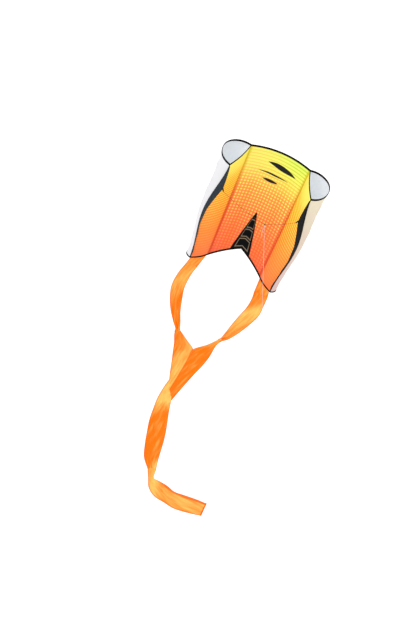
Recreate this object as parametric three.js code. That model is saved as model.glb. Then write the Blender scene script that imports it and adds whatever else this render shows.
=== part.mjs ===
// A pocket sled kite with no spars: a cambered centre panel between two ram-air tubes,
// a keel on each tube, a two-leg bridle, a flying line and a forked ribbon tail.
// Millimetres, +Z up along the kite's spine, belly and keels towards -Y, origin at the tow point.

import * as THREE from 'three';
import { LoftGeometry } from 'three/addons/geometries/LoftGeometry.js';

// Sail.
const seamLength = 502; // inner seams, leading edge to foot
const seamSpacingTop = 190;
const seamSpacingFoot = 170;
const camber = 21; // how far the centre panel bellies back
const notchRise = 60; // height of the V cut in the trailing edge

// Ram-air tubes: each has a flat face from its inner to its outer seam, and a round back.
const mouthChordOut = 34.5; // inner to outer seam at the mouth, sideways
const mouthChordForward = 111;
const footChordOut = 48;
const footChordForward = 42;
const seamBow = 20; // how far the air pushes the outer seam outwards halfway down
const mouthBulge = 58; // depth of the round back behind its chord
const footBulge = 15;
const footLean = 21; // how far a tube's back is blown outwards at its foot
const faceCrown = 4; // how far the air pushes the face out

// Cloth and tape.
const cloth = 0.8;
const tape = 2.2; // thickness of a folded edge tape
const tapeWidth = 5;
const seamGap = 1.6; // left at a sewn seam, where three cloths meet
const gap = 0.35; // left wherever two pieces touch
const backLift = tape + gap; // the seam allowance between a tube's face and its back

// Keels.
const keelHeight = 31;
const keelTipDown = 90; // the tip's distance below the leading edge
const keelLean = 27; // degrees, towards the middle
const keelRootGap = 2.2;
const keelTopInset = 8;
const keelFootInset = 12;
const keelEndHeight = 4;
const keelTaper = 1.5; // the power that its height falls by below the tip
const keelTipRow = 0.25; // the share of the keel's rows above its tip

// Black gusset above the notch.
const gussetTopDown = 272;
const gussetHalfWidth = 32;
const gussetTipHalfWidth = 1.5;

// Bridle.
const tow = new THREE.Vector3( 34, - 175, - 111 ); // from the middle of the leading edge
const cordDiameter = 0.9;
const towKnotRadius = 2.4;
const legKnotRadius = 1.8;
const leftLegSag = 6.4;
const rightLegSag = 3.2;
const tabLength = 9;
const tabWidth = 8;
const tabThickness = 1.4;
const tabHole = 3.2;

// Flying line, pulled taut towards the flyer, down to its hand loop.
const lineWay = new THREE.Vector3( 0.353, - 0.837, - 0.418 ).normalize();
const lineLength = 1193;
const lineKnotRadius = 2;
const tagEnd = [ [ 0, 0, - 2.4 ], [ - 0.7, - 1.5, - 15 ], [ 0.9, - 3, - 29 ], [ 5.3, - 4, - 42 ] ];
const loopLength = 62;
const loopWidth = 26;
const loopOpening = 0.12; // radians left open at the loop's knot, between its two ends

// Tail ribbon.
const ribbonWidth = 54;
const armWidth = 47; // the ribbon's width where the arms hang with curled edges
const twistWidth = 13; // and where it is gathered into a twist
const twistTurn = Math.PI / 3;
const ribbonCurl = 2; // depth of the hollow across every ribbon
const tailDepth = - footChordForward / 2; // the tail hangs below the middle of the tubes' feet
const tabDrop = 48; // the arms start this far below the foot
const swingGap = 2; // room for the arms to swing below their tabs
const tabInset = 3.8; // of a tail tab's top corners from the tube's seams
const armGathersFrom = 0.45; // shares of a ribbon's length
const armTurnsFrom = 0.7;
const streamerOpens = 0.22;
const tipOpens = 0.3;
const tipTapersFrom = 0.6;
const tipTaper = 18;
const hemThickness = 1.6;
const hemWidth = 5;

// The tail's middle lines and the fork's outline as [ x, z ] points, measured from the foot.
const leftArm = [ [ - 122, - 88 ], [ - 129, - 138 ], [ - 122, - 198 ], [ - 106, - 260 ], [ - 84, - 326 ] ];
const rightArm = [ [ 114, - 88 ], [ 110, - 138 ], [ 96, - 198 ], [ 79, - 246 ], [ 59, - 294 ] ];
const forkTop = [ [ - 89, - 330 ], [ - 80, - 327.5 ], [ - 11, - 391 ], [ 57, - 296.5 ], [ 64, - 298 ] ];
const forkRight = [ [ 50, - 348 ], [ 43, - 403 ], [ 19, - 504 ], [ - 15, - 619.5 ] ];
const forkLeft = [ [ - 39, - 619.5 ], [ - 44, - 551 ], [ - 60, - 463 ], [ - 72, - 396 ], [ - 89, - 330 ] ];
const streamer = [ [ - 27, - 622 ], [ - 27, - 663 ], [ - 26, - 713 ], [ - 16, - 788 ], [ - 9, - 843 ],
	[ - 1, - 903 ], [ 10, - 953 ], [ 25, - 995 ] ];
const tip = [ [ 29, - 1002 ], [ 44, - 1038 ], [ 72, - 1064 ], [ 112, - 1079 ], [ 158, - 1081 ],
	[ 226, - 1072 ] ];

const colours = {
	print: 0xf58a1f, white: 0xf2f2f0, black: 0x17171b, tail: 0xff7a00, line: 0xf1e6dc, bridle: 0x3a3228
};
const materials = {};
for ( const [ name, color ] of Object.entries( colours ) ) {

	materials[ name ] = new THREE.MeshStandardMaterial( { color, roughness: 0.6, metalness: 0 } );

}

const sides = [ [ 'left', - 1 ], [ 'right', 1 ] ];
const sideways = new THREE.Vector3( 1, 0, 0 );
const upright = new THREE.Vector3( 0, 0, 1 );
const lerp = THREE.MathUtils.lerp;
const smooth = THREE.MathUtils.smoothstep;

const kite = new THREE.Group(); // its own origin is the tow point
const sail = new THREE.Group(); // measured from the middle of the leading edge
const tail = new THREE.Group(); // measured from the foot
sail.position.copy( tow ).negate();
tail.position.z = - seamLength;
kite.add( sail );
sail.add( tail );

function add( name, geometry, material, group = sail ) {

	const mesh = new THREE.Mesh( geometry, materials[ material ] );
	mesh.name = name;
	group.add( mesh );

}

// ---- Ways of making a piece ----

// Six times the volume inside a closed geometry, negative if its faces point in.
function signedVolume( geometry ) {

	const p = geometry.toNonIndexed().getAttribute( 'position' );
	const [ a, b, c ] = [ new THREE.Vector3(), new THREE.Vector3(), new THREE.Vector3() ];
	let sum = 0;
	for ( let i = 0; i < p.count; i += 3 ) {

		a.fromBufferAttribute( p, i );
		b.fromBufferAttribute( p, i + 1 );
		c.fromBufferAttribute( p, i + 2 );
		sum += a.dot( b.cross( c ) );

	}

	return sum;

}

// A loft through closed rings, with its ends capped and its faces pointing out.
function loft( rings ) {

	const options = { closed: true, capStart: true, capEnd: true };
	const geometry = new LoftGeometry( rings, options );
	if ( signedVolume( geometry ) > 0 ) return geometry;
	return new LoftGeometry( rings.map( ring => [ ...ring ].reverse() ), options );

}

// A sheet of even thickness on both sides of the surface point( a, b ), a across and b along.
function sheet( point, columns, rows, thickness = cloth ) {

	const step = 1e-3;
	const normalAt = ( a, b ) => {

		const across = point( a + step, b ).sub( point( a - step, b ) );
		const along = point( a, Math.min( b + step, 1 ) ).sub( point( a, Math.max( b - step, 0 ) ) );
		return across.cross( along ).normalize();

	};

	const rings = [];
	for ( let j = 0; j <= rows; j ++ ) {

		const b = j / rows;
		const front = [];
		const back = [];
		for ( let i = 0; i <= columns; i ++ ) {

			const a = i / columns;
			const offset = normalAt( a, b ).multiplyScalar( thickness / 2 );
			front.push( point( a, b ).add( offset ) );
			back.push( point( a, b ).sub( offset ) );

		}

		rings.push( [ ...front, ...back.reverse() ] );

	}

	return loft( rings );

}

// A smooth line through [ x, z ] points in the tail's plane.
function tailLine( points ) {

	return new THREE.CatmullRomCurve3( points.map( ( [ x, z ] ) => new THREE.Vector3( x, tailDepth, z ) ) );

}

// How far the wind pushes a ribbon back at a, from 0 to 1 across it.
const curlAt = a => ribbonCurl * ( 1 - ( 2 * a - 1 ) ** 2 );

// A ribbon along a curve; widthAt and wayAt give its width and the direction across it.
function ribbonAlong( curve, widthAt, wayAt, rows, thickness = cloth ) {

	const point = ( a, b ) => {

		const along = curve.getTangent( b );
		const across = wayAt( b, along );
		const behind = across.clone().cross( along ).normalize();
		return curve.getPoint( b ).addScaledVector( across, ( a - 0.5 ) * widthAt( b ) )
			.addScaledVector( behind, curlAt( a ) );

	};

	return sheet( point, 8, rows, thickness );

}

// A round cord, eight-sided, through a route of points.
function cord( route, steps ) {

	const section = new THREE.Shape().absarc( 0, 0, cordDiameter / 2, 0, 2 * Math.PI );
	const extrudePath = new THREE.CatmullRomCurve3( route );
	return new THREE.ExtrudeGeometry( section, { steps, curveSegments: 4, bevelEnabled: false, extrudePath } );

}

// A knot: a small round lump of turns.
function knot( { x, y, z }, radius ) {

	return new THREE.SphereGeometry( radius, 10, 8 ).translate( x, y, z );

}

// ---- The sail's surfaces, measured from the middle of the leading edge ----

// The centre panel: t from -1 to 1 between the inner seams, down from the leading edge.
function centre( t, down ) {

	const half = lerp( seamSpacingTop, seamSpacingFoot, down / seamLength ) / 2;
	return new THREE.Vector3( t * half, camber * ( 1 - t * t ), - down );

}

const trailingEdge = t => seamLength - notchRise * ( 1 - Math.abs( t ) );

// A tube's chord at one height: where it starts, the way along it and the way out of the sail.
function chordAt( side, down ) {

	const f = down / seamLength;
	const outward = lerp( mouthChordOut, footChordOut, f ) + seamBow * Math.sin( Math.PI * f ) ** 2;
	const forward = lerp( mouthChordForward, footChordForward, f );
	const chord = new THREE.Vector3( side * outward, - forward, 0 );
	const normal = new THREE.Vector3( side * forward, outward, 0 ).normalize();
	const bulge = lerp( mouthBulge, footBulge, f );
	return { inner: centre( side, down ), chord, normal, bulge, lean: footLean * f ** 2 };

}

function outerSeam( side, down ) {

	const { inner, chord } = chordAt( side, down );
	return inner.add( chord );

}

// The face runs straight from seam to seam, crowned a little by the air inside it.
function face( side, a, down ) {

	const { inner, chord, normal } = chordAt( side, down );
	const inset = seamGap / chord.length();
	const f = lerp( inset, 1 - inset, a );
	return inner.addScaledVector( chord, f ).addScaledVector( normal, - faceCrown * Math.sin( Math.PI * f ) );

}

// The back is half an ellipse on the same chord, a seam allowance away from the face, and leans
// outwards towards the foot.
function back( side, a, down ) {

	const { inner, chord, normal, bulge, lean } = chordAt( side, down );
	const inset = seamGap / ( 2 * mouthBulge );
	const turn = Math.PI * lerp( inset, 1 - inset, a );
	return inner.addScaledVector( chord, ( 1 - Math.cos( turn ) ) / 2 )
		.addScaledVector( normal, backLift + bulge * Math.sin( turn ) )
		.addScaledVector( sideways, side * lean * Math.sin( turn ) );

}

// A surface between its two edge tapes, and the tape along its top or its foot.
const edge = tapeWidth + gap;
const between = ( point, top, foot ) => ( a, b ) => point( a, lerp( top( a ) + edge, foot( a ) - edge, b ) );
const topTape = ( point, top ) => ( a, b ) => point( a, top( a ) + b * tapeWidth );
const footTape = ( point, foot ) => ( a, b ) => point( a, foot( a ) - b * tapeWidth );

// ---- Centre panel ----

const seamInset = 2 * seamGap / seamSpacingFoot;
const acrossCentre = a => lerp( - 1 + seamInset, 1 - seamInset, a );
const centrePoint = ( a, down ) => centre( acrossCentre( a ), down );
const leadingEdge = () => 0;
const centreFoot = a => trailingEdge( acrossCentre( a ) );
add( 'centre_panel', sheet( between( centrePoint, leadingEdge, centreFoot ), 16, 16 ), 'print' );
add( 'leading_edge_binding', sheet( topTape( centrePoint, leadingEdge ), 16, 1, tape ), 'black' );

// The two trailing edge tapes meet at the notch without touching.
for ( const [ name, side ] of sides ) {

	const across = a => side * lerp( gap / seamSpacingFoot, 1 - seamInset, a );
	const half = ( a, down ) => centre( across( a ), down );
	const foot = a => trailingEdge( across( a ) );
	add( name + '_trailing_edge_binding', sheet( footTape( half, foot ), 10, 1, tape ), 'black' );

}

// The gusset lies on the belly side of the centre panel, clear of the trailing edge tapes.
function gussetPoint( a, b ) {

	const halfWidth = lerp( gussetTipHalfWidth, gussetHalfWidth, b );
	const t = ( 2 * a - 1 ) * halfWidth / ( seamSpacingFoot / 2 );
	const down = lerp( gussetTopDown, trailingEdge( t ) - edge - tape, b );
	const point = centre( t, down );
	point.y -= cloth + gap;
	return point;

}

add( 'notch_gusset', sheet( gussetPoint, 8, 10 ), 'black' );

// ---- Ram-air tubes, keels and bridle ----

for ( const [ name, side ] of sides ) {

	const facePoint = ( a, down ) => face( side, a, down );
	const backPoint = ( a, down ) => back( side, a, down );
	const mouth = () => 0;
	const foot = () => seamLength;
	add( name + '_tube_face', sheet( between( facePoint, mouth, foot ), 6, 12 ), 'print' );
	add( name + '_tube_back', sheet( between( backPoint, mouth, foot ), 14, 12 ), 'white' );
	add( name + '_mouth_face_binding', sheet( topTape( facePoint, mouth ), 6, 1, tape ), 'black' );
	add( name + '_mouth_back_binding', sheet( topTape( backPoint, mouth ), 14, 1, tape ), 'black' );
	add( name + '_foot_face_binding', sheet( footTape( facePoint, foot ), 6, 1, tape ), 'black' );
	add( name + '_foot_back_binding', sheet( footTape( backPoint, foot ), 14, 1, tape ), 'black' );

	// The keel stands on the outer seam: it rises quickly to its tip and falls in a hollow curve.
	const lean = THREE.MathUtils.degToRad( keelLean );
	const keelWay = new THREE.Vector3( - side * Math.sin( lean ), - Math.cos( lean ), 0 );
	const keelPoint = ( a, b ) => {

		const rise = Math.min( b, keelTipRow ) / keelTipRow;
		const fall = Math.max( b - keelTipRow, 0 ) / ( 1 - keelTipRow );
		const down = lerp( lerp( keelTopInset, keelTipDown, rise ), seamLength - keelFootInset, fall );
		const height = lerp( keelEndHeight, keelHeight, rise * ( 1 - fall ) ** keelTaper );
		return outerSeam( side, down ).addScaledVector( keelWay, keelRootGap + a * height );

	};

	add( name + '_keel', sheet( keelPoint, 2, 16 ), 'black' );

	// The bridle tab carries on from the keel's tip, with an eye for the bridle leg's knot.
	const tabRoot = outerSeam( side, keelTipDown ).addScaledVector( keelWay, keelRootGap + keelHeight + gap );
	const eye = tabLength - tabWidth / 2;
	const outline = new THREE.Shape();
	outline.moveTo( 0, - tabWidth / 2 );
	outline.absarc( eye, 0, tabWidth / 2, - Math.PI / 2, Math.PI / 2 );
	outline.lineTo( 0, tabWidth / 2 );
	outline.holes.push( new THREE.Path().absarc( eye, 0, tabHole / 2, 0, 2 * Math.PI, true ) );
	const tabOptions = { depth: tabThickness, bevelEnabled: false, curveSegments: 8 };
	const tab = new THREE.ExtrudeGeometry( outline, tabOptions ).translate( 0, 0, - tabThickness / 2 );
	const turned = new THREE.Matrix4().makeBasis( keelWay, upright, keelWay.clone().cross( upright ) );
	add( name + '_bridle_tab', tab.applyMatrix4( turned.setPosition( tabRoot ) ), 'black' );

	// The leg hangs in a shallow curve from its knot at the eye to the tow knot.
	const legKnot = tabRoot.addScaledVector( keelWay, tabLength + gap + legKnotRadius );
	add( name + '_leg_knot', knot( legKnot, legKnotRadius ), 'bridle' );
	const legWay = tow.clone().sub( legKnot ).normalize();
	const legStart = legKnot.clone().addScaledVector( legWay, legKnotRadius + gap );
	const legEnd = tow.clone().addScaledVector( legWay, - towKnotRadius - gap );
	const sag = side < 0 ? leftLegSag : rightLegSag;
	const legPoint = s => legStart.clone().lerp( legEnd, s ).addScaledVector( upright, - 4 * sag * s * ( 1 - s ) );
	add( name + '_bridle_leg', cord( [ 0, 0.25, 0.5, 0.75, 1 ].map( legPoint ), 16 ), 'bridle' );

}

add( 'tow_knot', knot( tow, towKnotRadius ), 'bridle' );

// ---- Flying line ----

const lineKnot = tow.clone().addScaledVector( lineWay, towKnotRadius + gap + lineKnotRadius );
const lineStart = lineKnot.clone().addScaledVector( lineWay, lineKnotRadius + gap );
const lineEnd = lineStart.clone().addScaledVector( lineWay, lineLength );
const loopKnot = lineEnd.clone().addScaledVector( lineWay, gap + lineKnotRadius );
const tagRoute = tagEnd.map( p => new THREE.Vector3( ...p ).add( lineKnot ) );
add( 'line_knot', knot( lineKnot, lineKnotRadius ), 'line' );
add( 'line_tag', cord( tagRoute, 8 ), 'line' );
add( 'flying_line', cord( [ lineStart, lineEnd ], 24 ), 'line' );
add( 'hand_loop_knot', knot( loopKnot, lineKnotRadius ), 'line' );

// The hand loop is a teardrop that leaves the knot and comes back to it.
const loopAcross = upright.clone().cross( lineWay ).normalize();
const loopPoint = s => {

	const turn = lerp( loopOpening, 2 * Math.PI - loopOpening, s );
	const out = lineKnotRadius + gap + loopLength * ( 1 - Math.cos( turn ) ) / 2;
	const across = loopWidth / 2 * Math.sin( turn ) * Math.sin( turn / 2 ) + cordDiameter * Math.cos( turn / 2 );
	return loopKnot.clone().addScaledVector( lineWay, out ).addScaledVector( loopAcross, across );

};

const loopPoints = 24;
const loopRoute = Array.from( { length: loopPoints + 1 }, ( _, i ) => loopPoint( i / loopPoints ) );
add( 'hand_loop', cord( loopRoute, 2 * loopPoints ), 'line' );

// ---- Tail ----

const turnedBy = angle => sideways.clone().applyAxisAngle( upright, angle );
const { inner: footInner, chord: footChord } = chordAt( 1, seamLength );
const armTop = footInner.x + footChord.x / 2;
for ( const [ name, side ] of sides ) {

	// A tab, sewn across the tube's foot, turns the ribbon from the tube's chord to face forwards.
	const inset = tabInset / footChord.length();
	const tabPoint = ( a, b ) => {

		const top = footInner.clone().addScaledVector( footChord, lerp( inset, 1 - inset, a ) ).setZ( - gap );
		const foot = new THREE.Vector3( armTop + ( a - 0.5 ) * armWidth, tailDepth, swingGap - tabDrop );
		const point = top.lerp( foot, b );
		return point.set( side * point.x, point.y + curlAt( a ), point.z );

	};

	add( name + '_tail_tab', sheet( tabPoint, 8, 10 ), 'tail', tail );

	// The arm keeps its width, then gathers and turns into the twist above the fork.
	const path = [ [ side * armTop, - tabDrop ], ...( side < 0 ? leftArm : rightArm ) ];
	const width = s => lerp( armWidth, twistWidth, smooth( s, armGathersFrom, 1 ) );
	const way = s => turnedBy( side * twistTurn * smooth( s, armTurnsFrom, 1 ) );
	add( name + '_tail_arm', ribbonAlong( tailLine( path ), width, way, 40 ), 'tail', tail );

}

// The fork is one flat piece of cloth that joins both arms to the streamer.
const flat = points => points.map( p => new THREE.Vector2( ...p ) );
const forkOutline = new THREE.Shape( flat( forkTop ) );
forkOutline.splineThru( flat( forkRight ) );
forkOutline.lineTo( ...forkLeft[ 0 ] );
forkOutline.splineThru( flat( forkLeft.slice( 1 ) ) );
const fork = new THREE.ExtrudeGeometry( forkOutline, { depth: cloth, bevelEnabled: false, curveSegments: 8 } );
add( 'tail_fork', fork.rotateX( Math.PI / 2 ).translate( 0, tailDepth + cloth / 2, 0 ), 'tail', tail );

// The streamer opens out below the fork's twist and gathers again above the tip's.
const endsOf = s => 1 - smooth( s, 0, streamerOpens ) + smooth( s, 1 - streamerOpens, 1 );
const streamerWidth = s => lerp( ribbonWidth, twistWidth, endsOf( s ) );
const streamerWay = s => turnedBy( twistTurn * endsOf( s ) );
add( 'tail_streamer', ribbonAlong( tailLine( streamer ), streamerWidth, streamerWay, 60 ), 'tail', tail );

// The tip is blown sideways, lies back a little, and ends in a hemmed cut.
const tipWidth = s =>
	lerp( twistWidth, ribbonWidth, smooth( s, 0, tipOpens ) ) - tipTaper * smooth( s, tipTapersFrom, 1 );
const tipFace = new THREE.Vector3( 0, 1, 1 ).normalize();
const tipWay = ( s, along ) => tipFace.clone().addScaledVector( along, - tipFace.dot( along ) ).normalize();
const tipLine = tailLine( tip );
add( 'tail_tip', ribbonAlong( tipLine, tipWidth, tipWay, 40 ), 'tail', tail );
const pastEnd = distance => tipLine.getPoint( 1 ).addScaledVector( tipLine.getTangent( 1 ), distance );
const hemLine = new THREE.LineCurve3( pastEnd( gap ), pastEnd( gap + hemWidth ) );
const hem = ribbonAlong( hemLine, () => tipWidth( 1 ), tipWay, 1, hemThickness );
add( 'tail_end_hem', hem, 'tail', tail );

export default kite;
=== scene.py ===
import math

import bmesh
import bpy
import numpy as np
from mathutils import Matrix


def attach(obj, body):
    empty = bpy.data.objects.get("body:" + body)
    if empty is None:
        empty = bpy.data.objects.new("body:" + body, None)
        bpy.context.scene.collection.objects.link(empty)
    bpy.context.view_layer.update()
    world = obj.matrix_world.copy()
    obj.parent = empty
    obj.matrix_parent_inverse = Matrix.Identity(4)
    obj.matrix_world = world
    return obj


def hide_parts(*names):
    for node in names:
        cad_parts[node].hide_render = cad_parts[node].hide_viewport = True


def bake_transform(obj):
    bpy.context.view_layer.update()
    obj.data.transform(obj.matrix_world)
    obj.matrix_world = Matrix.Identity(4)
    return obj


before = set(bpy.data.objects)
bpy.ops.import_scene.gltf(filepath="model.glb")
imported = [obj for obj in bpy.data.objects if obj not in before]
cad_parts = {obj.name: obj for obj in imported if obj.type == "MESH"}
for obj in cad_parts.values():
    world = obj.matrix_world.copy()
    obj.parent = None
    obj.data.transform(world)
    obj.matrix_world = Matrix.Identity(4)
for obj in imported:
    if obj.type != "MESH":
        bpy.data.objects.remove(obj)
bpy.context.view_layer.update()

bl_info = {
    "name": "Pocket Sled Kite",
    "version": (1, 0, 0),
    "blender": (4, 5, 0),
    "location": "3D View > Sidebar > Kite",
    "description": "Makes a frameless sled kite with ram-air tubes, a bridle and a ribbon tail",
    "category": "Add Mesh",
}

MM = 0.001

# ---------------------------------------------------------------- sizes
# Millimetres, measured from the middle of the leading edge: x to the right, y to the back, z up.

TOW = np.array((34.0, -175.0, -111.0))  # the tow point, which is the frame's own origin
SEAM_LENGTH = 502.0
SEAM_SPACING_TOP = 190.0
SEAM_SPACING_FOOT = 170.0
CAMBER = 21.0
NOTCH_RISE = 60.0

MOUTH_CHORD_OUT = 34.5
MOUTH_CHORD_FORWARD = 111.0
FOOT_CHORD_OUT = 48.0
FOOT_CHORD_FORWARD = 42.0
MOUTH_BULGE = 58.0
FOOT_BULGE = 15.0
FOOT_LEAN = 21.0
FACE_CROWN = 4.0
SEAM_BOW = 20.0

KEEL_HEIGHT = 31.0
KEEL_TIP_DOWN = 90.0
KEEL_LEAN = math.radians(27)
KEEL_ROOT_GAP = 2.2
KEEL_TOP_INSET = 8.0
KEEL_FOOT_INSET = 12.0
KEEL_END_HEIGHT = 4.0
KEEL_TIP_ROW = 0.25
KEEL_TAPER = 1.5
SEAM_TAPE_WIDTH = 4.6

GUSSET_TOP_DOWN = 272.0
GUSSET_HALF_WIDTH = 32.0
GUSSET_TIP_HALF_WIDTH = 1.5

GAP = 0.35
CORD_DIAMETER = 0.9
TOW_KNOT_RADIUS = 2.4
LEG_KNOT_RADIUS = 1.8
LEG_SAG = {"left": 6.4, "right": 3.2}
TAB_LENGTH = 9.0
TAB_WIDTH = 8.0
TAB_THICKNESS = 1.4
TAB_HOLE = 3.2

LINE_WAY = np.array((0.353, -0.837, -0.418)) / math.hypot(0.353, 0.837, 0.418)
LINE_LENGTH = 1193.0
LINE_KNOT_RADIUS = 2.0
TAG_END = ((0, 0, -2.4), (-0.7, -1.5, -15), (0.9, -3, -29), (5.3, -4, -42))
LOOP_LENGTH = 62.0
LOOP_WIDTH = 26.0
LOOP_OPENING = 0.12

TAIL_DEPTH = -FOOT_CHORD_FORWARD / 2
ARM_START = -548.0
TAB_OVERLAP = 1.5
TAB_FLAT = (60.0, 50.0)
HEM_CURL = 1.6
HEM_CURL_WIDTH = 0.08

# Stations down each ribbon: its left edge and its right edge as x, z.
LEFT_ARM = (
    (-136, -548, -101, -548), (-147, -602, -108, -590), (-151, -655, -111, -650), (-145, -702, -104, -702),
    (-127, -760, -94, -755), (-104, -808, -81, -800), (-88, -836, -73, -832), (-87, -852, -66, -848),
)
RIGHT_ARM = (
    (89, -548, 134, -548), (91, -582, 134, -590), (87, -626, 132, -640), (76, -675, 116, -695),
    (66, -725, 96, -748), (59, -766, 76, -788), (53, -795, 61, -806), (44, -806, 56, -816),
)
FORK_LEFT = (
    (-87, -838, -73, -834), (-83, -866, -40, -864), (-74, -898, -11, -893), (-66, -940, -13, -938),
    (-57, -985, -17, -988), (-49, -1030, -22, -1045), (-42, -1064, -28, -1107),
)
FORK_RIGHT = (
    (53, -797, 61, -805), (24, -846, 50, -836), (-12, -893, 45, -896), (-14, -938, 36, -946),
    (-18, -988, 25, -990), (-23, -1045, 6, -1076), (-29, -1107, -9, -1150),
)
STREAMER = (
    (-42, -1060, -10, -1147), (-49, -1112, -6, -1175), (-53, -1165, -1, -1207), (-52, -1215, 6, -1245),
    (-49, -1275, 14, -1290), (-40, -1338, 21, -1342), (-30, -1397, 26, -1403), (-17, -1450, 30, -1447),
    (9, -1496, 35, -1484),
)
TIP = (
    (8, -1493, 35, -1481), (22, -1536, 39, -1523), (36, -1577, 62, -1528), (63, -1606, 90, -1534),
    (101, -1616, 117, -1546), (139, -1624, 148, -1543), (186, -1616, 190, -1538), (229, -1603, 229, -1537),
)

PANEL_CREASES = ((-0.52, 0.1), (0.5, 0.12))  # places and widths, as shares of half the panel
BACK_ARC = 170.0

CAMERA_TURNS = (-0.33, 45.0, 23.67)  # azimuth, elevation and roll in degrees
CAMERA_LENS = 231.2
SAIL_MIDDLE = np.array((-0.034, 0.135, -0.139))  # metres, as the two below
VIEW_MIDDLE_LEFT = 0.1358
VIEW_MIDDLE_DOWN = 0.2731
FLOOR_LEVEL = -2600.0
FLOOR_REACH = 16000.0

SIDES = (("left", -1), ("right", 1))


# ---------------------------------------------------------------- curves and meshes


def lerp(a, b, t):
    return a + (b - a) * t


def smooth(x, low, high):
    """0 below low, 1 above high, and the cubic 3t^2 - 2t^3 between."""
    t = np.clip((x - low) / (high - low), 0, 1)
    return t * t * (3 - 2 * t)


def hump(x, middle, width):
    """A bell of height 1 at middle: e to the minus square of the distance in widths."""
    return np.exp(-(((x - middle) / width) ** 2))


def unit(v):
    return v / np.linalg.norm(v, axis=-1, keepdims=True)


def spline(points, t):
    """A smooth line through points at t from 0 to 1: each span is the cubic whose slope at
    each end is half the step between that end's neighbours."""
    known = np.asarray(points, float)
    known = np.vstack([2 * known[0] - known[1], known, 2 * known[-1] - known[-2]])
    x = np.clip(t, 0, 1) * (len(points) - 1)
    i = np.minimum(x.astype(int), len(points) - 2)
    f = (x - i)[..., None]
    a, b, c, d = (known[i + k] for k in range(4))
    return b + f / 2 * (c - a + f * (2 * a - 5 * b + 4 * c - d + f * (3 * (b - c) + d - a)))


def grid(columns, rows):
    """a from 0 to 1 across and b from 0 to 1 along, as arrays of rows + 1 by columns + 1."""
    return np.meshgrid(np.linspace(0, 1, columns + 1), np.linspace(0, 1, rows + 1))


def stacked(x, y, z):
    return np.stack(np.broadcast_arrays(x, y, z), -1).astype(float)


def lay_mesh(name, points, uv, around=False, along=False, caps=False):
    """An object on a grid of points in millimetres, one face to each cell. around joins the last
    column to the first, along the last row to the first, and caps close the two end rows."""
    rows, columns = points.shape[:2]
    index = np.arange(rows * columns).reshape(rows, columns)
    if around:
        index = np.hstack([index, index[:, :1]])
    if along:
        index = np.vstack([index, index[:1]])
    corners = lambda g: np.stack([g[:-1, :-1], g[:-1, 1:], g[1:, 1:], g[1:, :-1]], 2)
    faces = corners(index).reshape(-1, 4).tolist()
    placed = corners(uv).reshape(-1, 2)
    if caps:
        ends = [index[0, :-1][::-1].tolist(), index[-1, :-1].tolist()]
        faces += ends
        placed = np.vstack([placed, np.zeros((sum(map(len, ends)), 2))])
    mesh = bpy.data.meshes.new(name)
    mesh.from_pydata(((points.reshape(-1, 3) - TOW) * MM).tolist(), [], faces)
    mesh.uv_layers.new(name="cloth").data.foreach_set("uv", placed.astype(np.float32).ravel())
    mesh.polygons.foreach_set("use_smooth", np.ones(len(mesh.polygons), bool))
    mesh.update()
    made = bpy.data.objects.new(name, mesh)
    bpy.context.scene.collection.objects.link(made)
    return made


def face_out(made):
    """Turns a closed mesh's faces outwards."""
    turned = bmesh.new()
    turned.from_mesh(made.data)
    bmesh.ops.recalc_face_normals(turned, faces=turned.faces)
    turned.to_mesh(made.data)
    turned.free()
    return made


def thicken(made, thickness):
    """Gives a sheet an even thickness in metres, half on each side of its surface."""
    wall = made.modifiers.new("thickness", "SOLIDIFY")
    wall.thickness = thickness
    wall.offset = 0
    return made


def surface_area(points):
    """The area of a grid of points in square metres: half of each cell's crossed diagonals."""
    first = points[1:, 1:] - points[:-1, :-1]
    second = points[1:, :-1] - points[:-1, 1:]
    return float(np.linalg.norm(np.cross(first, second), axis=-1).sum() / 2) * MM * MM


def tube(name, path, radius, closed=False, normals=None):
    """A round tube of the given radius on a path: a circle in the plane that each point's
    normal and the cross of its tangent and normal span."""
    tangents = unit(np.roll(path, -1, 0) - np.roll(path, 1, 0) if closed else np.gradient(path, axis=0))
    if normals is None:
        across = np.cross(tangents, (0.31, 0.17, 0.93))
        normals = unit(across)
    else:
        normals = unit(normals - (normals * tangents).sum(-1, keepdims=True) * tangents)
    other = np.cross(tangents, normals)
    turn = np.linspace(0, 2 * np.pi, 12, endpoint=False)
    ring = np.cos(turn)[:, None] * normals[:, None] + np.sin(turn)[:, None] * other[:, None]
    points = path[:, None] + radius * ring
    length = np.linalg.norm(np.diff(path, axis=0), axis=1).sum() * MM
    u, v = grid(12, len(path) if closed else len(path) - 1)
    uv = np.stack([u, v * length], -1)
    return face_out(lay_mesh(name, points, uv, around=True, along=closed, caps=not closed))


def tape_piece(name, edge, inward, normal, width, thickness):
    """A folded edge tape: a flattened round section, whose cosine and sine are raised to the
    power 0.6, carried along the edge with its fold just outside it. Stitches pinch it a little."""
    turn = np.linspace(0, 2 * np.pi, 16, endpoint=False)
    rounded = lambda x: np.sign(x) * np.abs(x) ** 0.6
    steps = np.linalg.norm(np.diff(edge, axis=0), axis=1)
    along = np.concatenate([[0], np.cumsum(steps)])
    pinch = 1 - 0.12 * np.cos(2 * np.pi * along / 4.2)
    in_by = width * (0.5 - 0.5 * rounded(np.cos(turn))) - 0.4
    out_by = thickness / 2 * rounded(np.sin(turn))
    points = (edge[:, None] + inward[:, None] * in_by[:, None]
              + normal[:, None] * out_by[:, None] * pinch[:, None, None])
    u, v = grid(16, len(edge) - 1)
    uv = np.stack([u * 2 * width * MM, lerp(0, along[-1] * MM, v)], -1)
    return face_out(lay_mesh(name, points, uv, around=True, caps=True))


# ---------------------------------------------------------------- the sail's surfaces


def spacing(down):
    return lerp(SEAM_SPACING_TOP, SEAM_SPACING_FOOT, down / SEAM_LENGTH)


def trailing_edge(t):
    """How far down the trailing edge is: the foot, less a V that rises to the notch at t = 0."""
    return SEAM_LENGTH - NOTCH_RISE * (1 - np.abs(t))


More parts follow.
